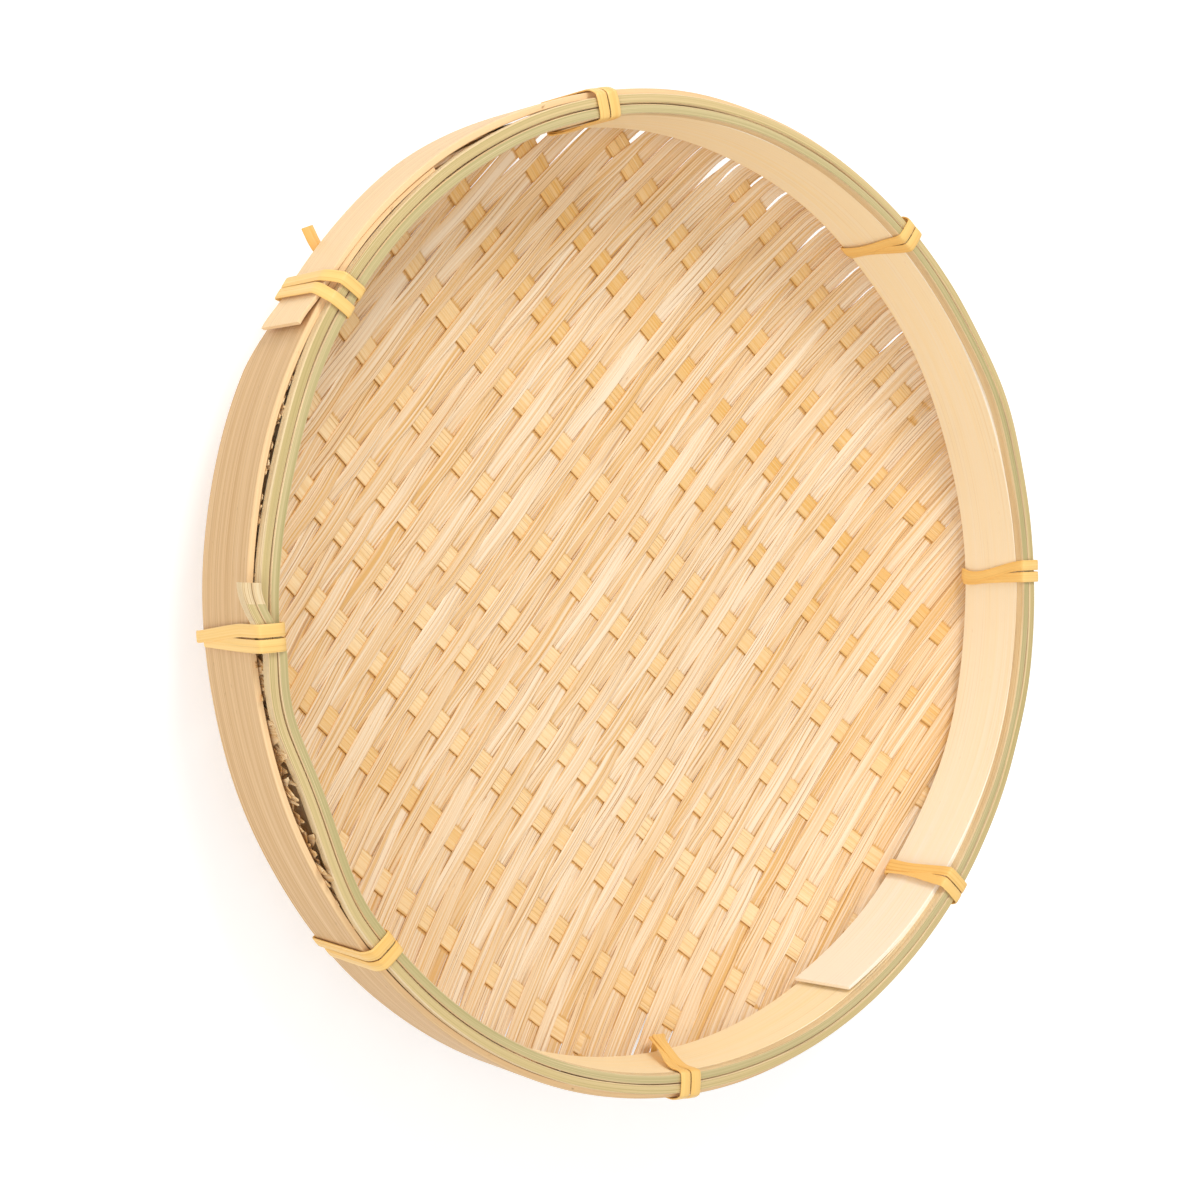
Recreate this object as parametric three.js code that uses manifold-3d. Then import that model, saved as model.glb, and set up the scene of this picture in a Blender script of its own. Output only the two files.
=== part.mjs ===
// A round bamboo tray: a dished mat of woven strips, clamped between an inner and an outer hoop,
// closed on top by two rim splints and bound together by eight ties.
// Millimetres, +Z up, origin on the ground under the middle of the tray.
import * as THREE from "three";
import { mergeVertices } from "three/addons/utils/BufferGeometryUtils.js";
import Module from "manifold-3d";

const wasm = await Module();
wasm.setup();

// Driving dimensions: the rim.
const trayDiameter = 300; // over the outer hoop
const hoopHeight = 26; // the outer band
const hoopStagger = 2.4; // the inner band ends this much higher
const hoopThickness = 2; // both bands
const hoopEase = 0.7; // how much thinner a band is at its eased edges
const hoopEaseHeight = 4;
const hoopLap = 60; // length of band that lies double at a lap
const lapRamp = 45; // length over which a band moves aside for its lap
const innerEndSlant = 2; // the inner band's end is cut back this far at its upper edge
const splintWidth = 2.75;
const splintHeight = 3.2;
const splintLap = 14; // length of splint that lies double at the ends
const splintRamp = 28;
const splintSwing = 5; // how far the raised ends stand out over the outer band
const swingLength = 26; // length over which they swing back into line
const rimBow = 3.3; // how far the inner band and the splints bow inwards between two ties

// Driving dimensions: the mat.
const stripThickness = 0.6;
const paleStripWidth = 4.55;
const paleStripSpacing = 0.38; // between neighbours
const weaveClearance = 0.36; // between strips that cross
const crossStripWidth = 7.5;
const crossStripMargin = 14; // least distance from the mat's bend to a cross strip
const crossStripGaps = [26.5, 26.5, 26, 25.5, 29, 25, 19, 22, 24.5, 27]; // uneven, woven by hand
const straightShare = 1 / 3; // cross strips nearer the middle than this share go up the wall
const crossStripTrim = 14; // those end this far short of the pale ones
const floorRadius = 24; // flat middle of the mat
const rimSlope = THREE.MathUtils.degToRad(24.5); // mat against the ground, where it meets the hoops
const bendRadius = 8; // where the mat turns up between the hoops

// How finely the curves are faceted.
const hoopSteps = 60;
const splintSteps = 54;
const bendSteps = 3; // mat, through the bend
const wallStep = 11; // mat, round the rim
const floorStep = 15; // cross strips, over the dish
const facetSag = 0.12; // how far a facet may stray from the bend

// Driving dimensions: the ties.
const tieWidth = 3.6;
const tieThickness = 0.5;
const gatheredWidth = 1.4; // a tie drawn narrow where it goes through the mat
const gatheredThickness = 1.1;
const turnSpacing = 0.6; // between the two turns of a tie
const gatheredSpacing = 0.5;
const tailLength = 7; // loose end of the tie on the outer hoop's lap
const tailWidth = 3.2;
const tailLean = 25; // degrees below level
const tailPlace = 17; // beside its tie
const tailTuck = 4; // how far it is tucked under the hoop

const clearance = 0.3; // between pieces that touch
const tieClearance = 0.5; // between a tie and the faceted rim that it goes round

// Directions around the tray, seen from above, in degrees from +X.
const paleStripDirection = 49.5;
const weaveSkew = -0.5; // cross strips run this much off square
const tieAngles = [1, 54, 104, 146, 183, 220.5, 268, 318];
const outerLapEnd = 151; // proud end of the outer hoop
const innerLapEnd = 297; // inner end of the inner hoop
const splintEnd = 177.5; // raised ends of the rim splints
const bowFrom = 187;
const bowTo = 216.5;

// Worked out from the driving dimensions.
const rad = THREE.MathUtils.degToRad;
const outerFace = trayDiameter / 2;
const weaveLift = stripThickness + weaveClearance; // pale strip passing under a cross strip
const steepness = crossStripWidth / (2 * Math.min(...crossStripGaps) - crossStripWidth);
const crestLift = (weaveLift * (1 + steepness)) / (1 - steepness); // passing over one, as a ridge
const matBelow = weaveLift + stripThickness / 2;
const matAbove = crestLift + stripThickness / 2;
const wallRadius = outerFace - hoopThickness - clearance - matBelow; // mat between the hoops
const innerHoopOutside = wallRadius - matAbove - clearance;
const innerFace = innerHoopOutside - hoopThickness;
const dishRadius = wallRadius - bendRadius * (1 - Math.sin(rimSlope));
const dishRise = ((dishRadius - floorRadius) * Math.tan(rimSlope)) / 3;
const bendBottom = matBelow + dishRise;
const wallBottom = bendBottom + bendRadius * Math.cos(rimSlope);
const innerHoopBottom = wallBottom - hoopEaseHeight / 2;
const outerHoopBottom = innerHoopBottom - hoopStagger;
const hoopTop = outerHoopBottom + hoopHeight;
const innerHoopHeight = hoopTop - innerHoopBottom;
const wallTop = hoopTop - clearance;
const splintBottom = hoopTop + clearance;
const splintTop = splintBottom + splintHeight;
const lapStep = hoopThickness + clearance; // how far a lapped band stands aside
const splintStep = splintHeight + clearance;
const splintOutside = innerFace + 2 * splintWidth + clearance;
const palePitch = paleStripWidth + paleStripSpacing;

// Closed solid through a row of rings that all have the same even number of points.
// A ring is listed counter-clockwise as seen by someone looking along the row.
function loft(rings) {
  const count = rings[0].length;
  const positions = rings.flat().flatMap((point) => point.toArray());
  const faces = [];
  const quad = (a, b, c, d) => faces.push(a, b, c, a, c, d);
  for (let k = 0; k + 1 < rings.length; k += 1) {
    for (let i = 0; i < count; i += 1) {
      const here = k * count;
      const next = here + count;
      const j = (i + 1) % count;
      quad(here + i, next + i, next + j, here + j);
    }
  }
  const last = (rings.length - 1) * count;
  for (let i = 0; i < count / 2 - 1; i += 1) {
    quad(i, i + 1, count - 2 - i, count - 1 - i);
    quad(last + count - 1 - i, last + count - 2 - i, last + i + 1, last + i);
  }
  const geometry = new THREE.BufferGeometry();
  geometry.setAttribute("position", new THREE.Float32BufferAttribute(positions, 3));
  geometry.setIndex(faces);
  return geometry;
}

function polar(radius, angle, height) {
  return new THREE.Vector3(radius * Math.cos(angle), radius * Math.sin(angle), height);
}

function toSolid(geometry) {
  const bare = geometry.clone();
  bare.deleteAttribute("normal");
  bare.deleteAttribute("uv");
  const merged = mergeVertices(bare);
  return new wasm.Manifold(
    new wasm.Mesh({
      numProp: 3,
      vertProperties: new Float32Array(merged.attributes.position.array),
      triVerts: new Uint32Array(merged.index.array),
    }),
  );
}

function toGeometry(solid) {
  const mesh = solid.getMesh();
  const geometry = new THREE.BufferGeometry();
  geometry.setAttribute("position", new THREE.BufferAttribute(mesh.vertProperties, 3));
  geometry.setIndex(new THREE.BufferAttribute(mesh.triVerts, 1));
  return geometry;
}

function pieceMesh(name, geometry, color, roughness) {
  geometry.computeVertexNormals();
  const material = new THREE.MeshStandardMaterial({ color, roughness, metalness: 0 });
  const mesh = new THREE.Mesh(geometry, material);
  mesh.name = name;
  return mesh;
}

// Half section of the mat, from its middle out to its edge under the rim splints:
// a flat floor, a cubic rise, a bend and an upright wall between the hoops.
function matProfile() {
  const rise = (dishRadius - floorRadius) / 3;
  const profile = new THREE.Path();
  profile.moveTo(0, matBelow);
  profile.lineTo(floorRadius, matBelow);
  profile.bezierCurveTo(
    floorRadius + rise,
    matBelow,
    floorRadius + 2 * rise,
    matBelow,
    dishRadius,
    bendBottom,
  );
  profile.absarc(wallRadius - bendRadius, wallBottom, bendRadius, rimSlope - Math.PI / 2, 0, false);
  profile.lineTo(wallRadius, wallTop);
  return profile;
}

const profile = matProfile();
const matRadius = profile.getLength(); // the mat laid flat
const wallLength = wallTop - wallBottom;
const bendEnd = matRadius - wallLength;
const bendStart = bendEnd - bendRadius * (Math.PI / 2 - rimSlope);
const along = new THREE.Vector2(Math.cos(rad(paleStripDirection)), Math.sin(rad(paleStripDirection)));
const across = new THREE.Vector2(along.y, -along.x);
const skew = rad(weaveSkew);

// A point of the flat mat, u across the pale strips and v along them, carried onto the dish
// and raised off it by lift, which counts towards the inside of the tray.
function matPoint(u, v, lift) {
  const distance = Math.hypot(u, v);
  const share = Math.min(distance / matRadius, 1);
  const point = profile.getPoint(share);
  const tangent = profile.getTangent(Math.min(share, 0.9999));
  const heading = across.clone().multiplyScalar(u).addScaledVector(along, v).normalize();
  heading.multiplyScalar(point.x - lift * tangent.y);
  return new THREE.Vector3(heading.x, heading.y, point.y + lift * tangent.x);
}

// Places of the cross strips along v, from the first one down to the last that fits.
function crossStripsThatFit() {
  const most = bendStart - crossStripMargin;
  const places = [most];
  const next = () => places.at(-1) - crossStripGaps[(places.length - 1) % crossStripGaps.length];
  while (next() > -most) {
    places.push(next());
  }
  return places;
}

const crossStripPlaces = crossStripsThatFit();

// Where a cross strip meets the pale strip at u.
function crossStripRow(row, u) {
  return crossStripPlaces[row] - u * Math.tan(skew);
}

const crossStripRows = crossStripPlaces.length;

// Half the length of a cross strip. The middle ones go up the wall between the hoops;
// the others, which would meet the bend aslant, end under the inner hoop.
function crossStripHalf(row) {
  const side = Math.abs(crossStripRow(row, 0)) + crossStripWidth / 2;
  const reach = side < straightShare * bendStart ? matRadius - crossStripTrim : bendStart;
  return Math.sqrt(reach ** 2 - side ** 2);
}

// Section of a strip: its underside from one edge to the other, then its upper side back.
// Strips that run beside the rim are creased along their middle, so that they follow the bend.
function stripRing(pointAt, left, right, lift, creases) {
  const ring = [];
  for (const side of [-1, 1]) {
    for (let i = 0; i <= creases + 1; i += 1) {
      const share = i / (creases + 1);
      const place = side < 0 ? left + (right - left) * share : right + (left - right) * share;
      ring.push(pointAt(place, lift + (side * stripThickness) / 2));
    }
  }
  return ring;
}

function creasesFor(offset, width) {
  const slant = Math.min(Math.abs(offset) / bendStart, 1);
  const facet = Math.sqrt(8 * bendRadius * facetSag);
  return Math.max(Math.ceil((width * slant) / facet) - 1, 0);
}

// Extra stations where a strip at this offset goes through the bend,
// and up the wall, where a strip that runs beside the rim also turns with it.
function rimStations(offset, half) {
  const stations = [];
  const side = Math.abs(offset);
  const steps = side < bendStart * Math.SQRT1_2 ? bendSteps - 1 : bendSteps;
  for (let i = 0; i <= steps; i += 1) {
    const ring = bendStart + ((bendEnd - bendStart) * i) / steps;
    if (ring > side + 1) {
      stations.push(Math.sqrt(ring ** 2 - side ** 2));
    }
  }
  const from = stations.length ? stations.at(-1) : 0;
  const turn = Math.atan2(half, side) - Math.atan2(from, side);
  const wallSteps = Math.ceil((wallRadius * turn) / wallStep);
  for (let i = 1; i < wallSteps; i += 1) {
    stations.push(from + ((half - from) * i) / wallSteps);
  }
  return stations.flatMap((station) => [-station, station]);
}

function liftAt(keys, v) {
  const next = keys.findIndex((key) => key.v >= v);
  const a = keys[next - 1];
  const b = keys[next];
  return a.lift + ((b.lift - a.lift) * (v - a.v)) / (b.v - a.v);
}

// Heights of a pale strip along its length: over one cross strip, under the next.
function paleStripKeys(index, u, half) {
  const keys = [
    { v: -half, lift: 0 },
    { v: half, lift: 0 },
  ];
  for (let row = 0; row < crossStripRows; row += 1) {
    const v = crossStripRow(row, u);
    const reached = u * Math.cos(skew) - v * Math.sin(skew);
    if (Math.abs(reached) > crossStripHalf(row) + paleStripWidth) {
      continue;
    }
    if ((index + row) % 2 === 0) {
      keys.push({ v, lift: crestLift });
    } else {
      keys.push({ v: v - crossStripWidth / 2, lift: -weaveLift });
      keys.push({ v: v + crossStripWidth / 2, lift: -weaveLift });
    }
  }
  return keys.sort((a, b) => a.v - b.v);
}

// A pale strip. Its ends widen on the partner's side, where the strips crowd in the clamp.
function paleStrip(index, count, partnerSide) {
  const u = (index - (count - 1) / 2) * palePitch;
  const half = Math.sqrt(matRadius ** 2 - (Math.abs(u) + paleStripWidth / 2) ** 2);
  const keys = paleStripKeys(index, u, half);
  const isClear = (v) => keys.every((key) => Math.abs(key.v - v) > 3);
  const extra = rimStations(u, half).filter(isClear);
  const stations = [...keys, ...extra.map((v) => ({ v, lift: liftAt(keys, v) }))];
  stations.sort((a, b) => a.v - b.v);
  const creases = Math.abs(u) > 0.9 * bendStart ? 1 : 0;
  const rings = stations.map(({ v, lift }) => {
    const widen = Math.abs(v) === half ? paleStripSpacing : 0;
    const left = u - paleStripWidth / 2 - (partnerSide < 0 ? widen : 0);
    const right = u + paleStripWidth / 2 + (partnerSide > 0 ? widen : 0);
    return stripRing((place, height) => matPoint(place, v, height), left, right, lift, creases);
  });
  return loft(rings);
}

// A cross strip lies straight in the weave, and follows only the dish.
function crossStrip(row) {
  const offset = crossStripRow(row, 0) * Math.cos(skew);
  const half = crossStripHalf(row);
  const onWall = half ** 2 + offset ** 2 > bendEnd ** 2;
  const stations = [-half, half, ...(onWall ? rimStations(offset, half) : [])];
  const floorHalf = onWall ? Math.sqrt(bendStart ** 2 - offset ** 2) : half;
  const floorSteps = 2 * Math.ceil(floorHalf / floorStep);
  for (let i = 1; i < floorSteps; i += 1) {
    stations.push(floorHalf * ((2 * i) / floorSteps - 1));
  }
  stations.sort((a, b) => b - a);
  const creases = creasesFor(offset, crossStripWidth);
  const rings = stations.map((t) => {
    const pointAt = (place, height) => {
      const u = t * Math.cos(skew) + place * Math.sin(skew);
      const v = place * Math.cos(skew) - t * Math.sin(skew);
      return matPoint(u, v, height);
    };
    const edges = [offset - crossStripWidth / 2, offset + crossStripWidth / 2];
    return stripRing(pointAt, edges[0], edges[1], 0, creases);
  });
  return loft(rings);
}

// A tie goes through the mat between two pale strips, so its angle moves to their seam.
function seamAngle(angle) {
  const turn = rad(paleStripDirection - angle);
  const u = bendEnd * Math.sin(turn);
  const seam = Math.round(u / palePitch) * palePitch;
  if (Math.abs(Math.cos(turn)) < Math.SQRT1_2) {
    return rad(angle);
  }
  const slant = Math.asin(seam / bendEnd);
  return rad(paleStripDirection) - (Math.cos(turn) > 0 ? slant : Math.PI - slant);
}

// Share of a lap's sideways step at this distance from the lapped end: 1 on the lap, 0 past its ramp.
function lapShare(distance, lap, ramp) {
  return 1 - THREE.MathUtils.smoothstep(distance, lap, lap + ramp);
}

// How far the rim's inside bows inwards at this angle, between two ties that hold it in place.
function bowAt(angle) {
  const degrees = THREE.MathUtils.euclideanModulo(THREE.MathUtils.radToDeg(angle), 360);
  const share = THREE.MathUtils.clamp((degrees - bowFrom) / (bowTo - bowFrom), 0, 1);
  return rimBow * Math.sin(Math.PI * share) ** 2;
}

// Section of a band, from its inner side at 0 outwards and from its lower edge upwards.
// Both edges are thinner on the side that faces the mat.
function bandSection(height, matOutside) {
  const thin = hoopThickness - hoopEase;
  const mat = [
    [thin, 0],
    [hoopThickness, hoopEaseHeight],
    [hoopThickness, height - hoopEaseHeight],
    [thin, height],
  ];
  if (matOutside) {
    return [[0, 0], ...mat, [0, height]];
  }
  const turned = mat.map(([out, up]) => [hoopThickness - out, up]).reverse();
  return [[hoopThickness, 0], [hoopThickness, height], ...turned];
}

// A flat band bent round once, whose two ends lie one over the other. From its first end,
// which may be cut back at the upper edge, it lies aside by shift, and then moves back into line.
function hoopGeometry({ insideRadius, section, start, turn, shift, endSlant = 0, bow = () => 0 }) {
  const top = Math.max(...section.map(([, up]) => up));
  const sweep = 2 * Math.PI + hoopLap / insideRadius;
  const rings = [];
  for (let i = 0; i <= hoopSteps; i += 1) {
    const travel = (sweep * i) / hoopSteps;
    const inwards = bow(start + turn * travel);
    const aside = shift * lapShare(travel * insideRadius, hoopLap, lapRamp) - inwards;
    const cutBack = i === 0 ? endSlant / insideRadius / top : 0;
    const pointAt = ([out, up]) => {
      return polar(insideRadius + aside + out, start + turn * (travel + cutBack * up), up);
    };
    rings.push(section.map(pointAt));
  }
  return loft(turn > 0 ? rings : rings.reverse());
}

// How far a splint stands out at this distance from its first end.
function swingAt(distance) {
  return splintSwing * lapShare(distance, 0, swingLength);
}

// A rim splint: half of a thin cane, flat below and crowned above, bent once round the rim.
// Its first end rides up on the last one and stands out over the outer band.
function splintGeometry(insideRadius) {
  const section = [
    [0, 0],
    [splintWidth, 0],
    [splintWidth, splintHeight * 0.75],
    [splintWidth * 0.8, splintHeight],
    [splintWidth * 0.2, splintHeight],
    [0, splintHeight * 0.75],
  ];
  const middle = insideRadius + splintWidth / 2;
  const sweep = 2 * Math.PI + splintLap / middle;
  const rings = [];
  for (let i = 0; i <= splintSteps; i += 1) {
    const travel = (sweep * i) / splintSteps;
    const base = splintBottom + splintStep * lapShare(travel * middle, splintLap, splintRamp);
    const angle = rad(splintEnd) + travel;
    const inside = insideRadius + swingAt(travel * middle) - bowAt(angle);
    rings.push(section.map(([out, up]) => polar(inside + out, angle, base + up)));
  }
  return loft(rings);
}

// Where a tie passes under the hoops, and through the mat in between.
const holeOutside = new THREE.Vector2(
  outerFace - hoopThickness - clearance,
  outerHoopBottom - clearance - gatheredThickness / 2,
);
const holeInside = new THREE.Vector2(
  innerFace + hoopThickness / 2,
  innerHoopBottom - clearance - gatheredThickness / 2,
);

// Path of a tie in the half plane of its angle: x outwards, y up. Each station also has the
// sideways place of the strip, its width, its thickness and the way its upper side faces.
function tieStations({ raise, outward, inward, tail }) {
  const off = tieClearance + tieThickness / 2;
  const turnPitch = tieWidth + turnSpacing;
  const holePitch = gatheredWidth + gatheredSpacing;
  const corner = tieThickness;
  const inX = innerFace - inward - off;
  const outX = outerFace + outward + off;
  const topY = splintTop + raise + off;
  const stations = [];
  const add = (x, y, place, facing, width, thickness, heading = 0) =>
    stations.push({ x, y, place, facing: rad(facing), width, thickness, heading });
  const wide = (x, y, place, facing) => add(x, y, place, facing, tieWidth, tieThickness);
  const thin = (x, y, place) => add(x, y, place, 240, gatheredWidth, gatheredThickness);
  const lastSide = tail ? -1 : 1;
  for (const side of [-lastSide, lastSide]) {
    const place = (side * turnPitch) / 2;
    const hole = (side * holePitch) / 2;
    const isLast = side === lastSide;
    if (isLast) {
      thin(holeOutside.x, holeOutside.y, hole);
    }
    thin((holeOutside.x + holeInside.x) / 2, (holeOutside.y + holeInside.y) / 2, hole);
    thin(holeInside.x, holeInside.y, hole);
    add(inX + corner, holeInside.y, hole, 255, gatheredWidth, tieThickness);
    add(inX, holeInside.y + corner, hole, 195, gatheredWidth, tieThickness);
    wide(inX, holeInside.y + innerHoopHeight / 2, place, 180);
    wide(inX, topY - corner, place, 165);
    wide(inX + corner, topY, place, 105);
    wide(outX - corner, topY, place, 75);
    wide(outX, topY - corner, place, 15);
    if (isLast && !tail) {
      wide(outX, holeOutside.y + tieWidth, place, 0);
      continue;
    }
    wide(outX, holeOutside.y + corner, place, -15);
    wide(outX - corner, holeOutside.y, place, -75);
  }
  if (tail) {
    addTail(stations.at(-1), tail, add);
  }
  return stations;
}

// The loose end: tucked under the hoop in a half turn, drawn narrow, and then standing out.
function addTail(last, length, add) {
  const sideways = (tailPlace + last.place) / 2;
  for (const turned of [45, 90, 135]) {
    const x = last.x - tailTuck * Math.sin(rad(turned));
    const place = last.place - sideways * (1 - Math.cos(rad(turned)));
    const width = turned === 90 ? gatheredWidth : (gatheredWidth + tailWidth) / 2;
    add(x, last.y, place, -90, width, gatheredThickness, rad(turned));
  }
  for (const out of [0, length]) {
    const drop = out * Math.tan(rad(tailLean));
    add(last.x + out, last.y - drop, -tailPlace, -90 - tailLean, tailWidth, tieThickness, Math.PI);
  }
}

// Two turns of a strip round the rim and through the mat, as one unbroken winding.
// A station's width lies sideways, turned by its heading where the strip leaves its plane.
function tieGeometry(stations) {
  const rings = stations.map(({ x, y, place, facing, width, thickness, heading }) => {
    const half = new THREE.Vector3(-Math.sin(heading), Math.cos(heading), 0).multiplyScalar(width / 2);
    const raise = new THREE.Vector3(Math.cos(facing), 0, Math.sin(facing)).multiplyScalar(thickness / 2);
    const corner = (side, face) =>
      new THREE.Vector3(x, place, y).addScaledVector(half, side).addScaledVector(raise, face);
    return [corner(1, -1), corner(-1, -1), corner(-1, 1), corner(1, 1)];
  });
  return { geometry: loft(rings), rings };
}

// Least distance between the edge points of one turn and those of the other.
function leastTurnGap(rings) {
  const half = Math.floor(rings.length / 2);
  let least = Infinity;
  for (const a of rings.slice(0, half - 1).flat()) {
    for (const b of rings.slice(half + 1).flat()) {
      least = Math.min(least, a.distanceTo(b));
    }
  }
  return least;
}

// The hole that a tie needs in the mat, along its path under the hoops.
function tieHole(angle) {
  const path = holeInside.clone().sub(holeOutside);
  const length = path.length() + 2 * hoopThickness;
  const width = 2 * gatheredWidth + gatheredSpacing + 2 * clearance;
  const height = gatheredThickness + 2 * clearance;
  const box = new THREE.BoxGeometry(length, width, height);
  box.rotateY(-path.angle());
  box.translate((holeOutside.x + holeInside.x) / 2, 0, (holeOutside.y + holeInside.y) / 2);
  box.rotateZ(angle);
  return toSolid(box);
}

const tray = new THREE.Group();
const mat = new THREE.Group();
const rim = new THREE.Group();
tray.add(mat, rim);

const ties = tieAngles.map(seamAngle);
const holes = ties.map(tieHole).reduce((all, hole) => all.add(hole));
const number = (index) => String(index + 1).padStart(2, "0");

// As many pale strips as reach from one side of the bend to the other. Neighbours share a node:
// they press into each other at both ends.
const paleCount = 2 * Math.round(bendStart / palePitch + 0.5);
for (let pair = 0; pair < paleCount / 2; pair += 1) {
  const first = toSolid(paleStrip(2 * pair, paleCount, 1));
  const second = toSolid(paleStrip(2 * pair + 1, paleCount, -1));
  const geometry = toGeometry(first.add(second).subtract(holes));
  mat.add(pieceMesh(`pale_strips_${number(pair)}`, geometry, 0xf0d2a2, 0.6));
}

for (let row = 0; row < crossStripRows; row += 1) {
  const geometry = toGeometry(toSolid(crossStrip(row)).subtract(holes));
  mat.add(pieceMesh(`cross_strip_${number(row)}`, geometry, 0xdfb268, 0.5));
}

const outerBand = hoopGeometry({
  insideRadius: outerFace - hoopThickness,
  section: bandSection(hoopHeight, false),
  start: rad(outerLapEnd),
  turn: -1,
  shift: lapStep,
});
const innerBand = hoopGeometry({
  insideRadius: innerFace,
  section: bandSection(innerHoopHeight, true),
  start: rad(innerLapEnd),
  turn: 1,
  shift: -lapStep,
  endSlant: innerEndSlant,
  bow: bowAt,
});
const outerHoop = pieceMesh("outer_hoop", outerBand, 0xdcb887, 0.5);
outerHoop.position.z = outerHoopBottom;
const innerHoop = pieceMesh("inner_hoop", innerBand, 0xf1d09a, 0.45);
innerHoop.position.z = innerHoopBottom;
const innerSplint = pieceMesh("inner_rim_splint", splintGeometry(innerFace), 0xc3bd84, 0.4);
const outerSplintRadius = innerFace + splintWidth + clearance;
const outerSplint = pieceMesh("outer_rim_splint", splintGeometry(outerSplintRadius), 0xc9c08c, 0.4);
rim.add(outerHoop, innerHoop, innerSplint, outerSplint);

// Whether a tie at this angle goes round a lap of this length that starts at the given end.
function onLap(angle, end, turn, length) {
  const travel = THREE.MathUtils.euclideanModulo(turn * (THREE.MathUtils.radToDeg(angle) - end), 360);
  const degrees = THREE.MathUtils.radToDeg((length + tieWidth * 2) / outerFace);
  return travel < degrees || travel > 360 - degrees / 4;
}

let leastGap = Infinity;
ties.forEach((angle, index) => {
  const onOuterLap = onLap(angle, outerLapEnd, -1, hoopLap + lapRamp);
  const nearEnd = outerFace * (angle - rad(splintEnd)) - tieWidth - turnSpacing;
  const swung = nearEnd > 0 ? splintOutside + swingAt(nearEnd) - outerFace : 0;
  const { geometry, rings } = tieGeometry(
    tieStations({
      raise: onLap(angle, splintEnd, 1, splintLap + splintRamp) ? splintStep : 0,
      outward: Math.max(onOuterLap ? lapStep : 0, swung),
      inward: onLap(angle, innerLapEnd, 1, hoopLap + lapRamp) ? lapStep : 0,
      tail: onOuterLap ? tailLength : 0,
    }),
  );
  leastGap = Math.min(leastGap, leastTurnGap(rings));
  const tie = pieceMesh(`tie_${number(index)}`, geometry, 0xf2c461, 0.35);
  tie.rotation.z = angle;
  rim.add(tie);
});
console.log(`least gap between the turns of a tie: ${leastGap.toFixed(2)} mm`);

export default tray;
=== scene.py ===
"""A round bamboo tray: a dished mat of woven strips between two hoops, with rim splints and ties.

The tray's sizes are in millimetres; its pieces become metres as they are put into the scene. The
floor, the lamps and the camera are placed in metres.
"""

import bpy
import numpy as np
from mathutils import Matrix, Vector


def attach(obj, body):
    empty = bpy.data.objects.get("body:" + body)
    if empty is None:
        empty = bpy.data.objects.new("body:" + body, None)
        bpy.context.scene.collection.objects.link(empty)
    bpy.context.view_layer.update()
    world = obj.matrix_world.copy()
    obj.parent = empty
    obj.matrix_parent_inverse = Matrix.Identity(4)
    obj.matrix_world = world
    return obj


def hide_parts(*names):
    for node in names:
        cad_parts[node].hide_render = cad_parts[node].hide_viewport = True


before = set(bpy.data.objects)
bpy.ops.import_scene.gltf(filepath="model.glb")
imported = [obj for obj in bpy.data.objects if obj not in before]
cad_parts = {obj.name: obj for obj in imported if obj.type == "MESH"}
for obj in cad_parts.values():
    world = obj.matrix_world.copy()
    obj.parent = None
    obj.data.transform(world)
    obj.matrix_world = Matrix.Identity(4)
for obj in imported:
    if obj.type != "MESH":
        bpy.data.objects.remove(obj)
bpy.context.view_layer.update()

# Pale strips: bamboo split and planed thin, laid side by side in one direction. They go over and
# under the cross strips, follow the dish of the mat, and end pressed together between the hoops.
rng = np.random.default_rng(11)
floor_radius = 24.0
rim_slope = np.radians(24.5)
bend_radius = 8.0
wall_radius = 146.44
mat_height = 1.26
wall_top = 47.7
rise_steps, bend_steps = 240, 60
strip_direction = np.radians(49.5)
along = np.array([np.cos(strip_direction), np.sin(strip_direction)])
across = np.array([along[1], -along[0]])


def dish_section():
    """Half section of the mat: a flat floor, a rise with the cube of the way out, a round bend
    and an upright wall. Gives the length along it with the radius and height at each step."""
    dish_radius = wall_radius - bend_radius * (1 - np.sin(rim_slope))
    rise = (dish_radius - floor_radius) * np.tan(rim_slope) / 3
    share = np.linspace(0, 1, rise_steps)
    turn = np.linspace(rim_slope - np.pi / 2, 0, bend_steps)
    bend_centre = mat_height + rise + bend_radius * np.cos(rim_slope)
    rise_radius = floor_radius + (dish_radius - floor_radius) * share
    bend_out = wall_radius - bend_radius + bend_radius * np.cos(turn)
    radius = np.concatenate([[0.0], rise_radius, bend_out[1:], [wall_radius]])
    rise_height = mat_height + rise * share**3
    bend_height = bend_centre + bend_radius * np.sin(turn)
    height = np.concatenate([[mat_height], rise_height, bend_height[1:], [wall_top]])
    steps = np.hypot(np.diff(radius), np.diff(height))
    return np.concatenate([[0.0], np.cumsum(steps)]), radius, height


section_length, section_radius, section_height = dish_section()
section_out = np.gradient(section_radius, section_length)
section_up = np.gradient(section_height, section_length)
mat_radius = section_length[-1]
bend_end = section_length[-2]
bend_start = bend_end - bend_radius * (np.pi / 2 - rim_slope)


def on_dish(u, v, lift):
    """Carries the flat mat onto the dish: the way from the middle is measured along the half
    section, and lift moves a point square to it, towards the inside of the tray."""
    way = np.maximum(np.hypot(u, v), 1e-6)
    radius = np.interp(way, section_length, section_radius)
    radius = radius - lift * np.interp(way, section_length, section_up)
    height = np.interp(way, section_length, section_height)
    height = height + lift * np.interp(way, section_length, section_out)
    east = (across[0] * u + along[0] * v) / way
    north = (across[1] * u + along[1] * v) / way
    return np.stack([east * radius, north * radius, height], axis=-1)


first_gap = 14.0
cross_gaps = np.array([26.5, 26.5, 26, 25.5, 29, 25, 19, 22, 24.5, 27])
cross_places = bend_start - first_gap - np.concatenate([[0.0], np.cumsum(cross_gaps)])
cross_width = 7.4
cross_wall_gap = 14.0
cross_bend_hold = 1.0
weave_skew = np.tan(np.radians(-0.5))
weave_lift = 0.56
pale_pitch = 4.93
pale_count = 60
pale_thickness = 0.46
mat_shift = 0.4


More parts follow.
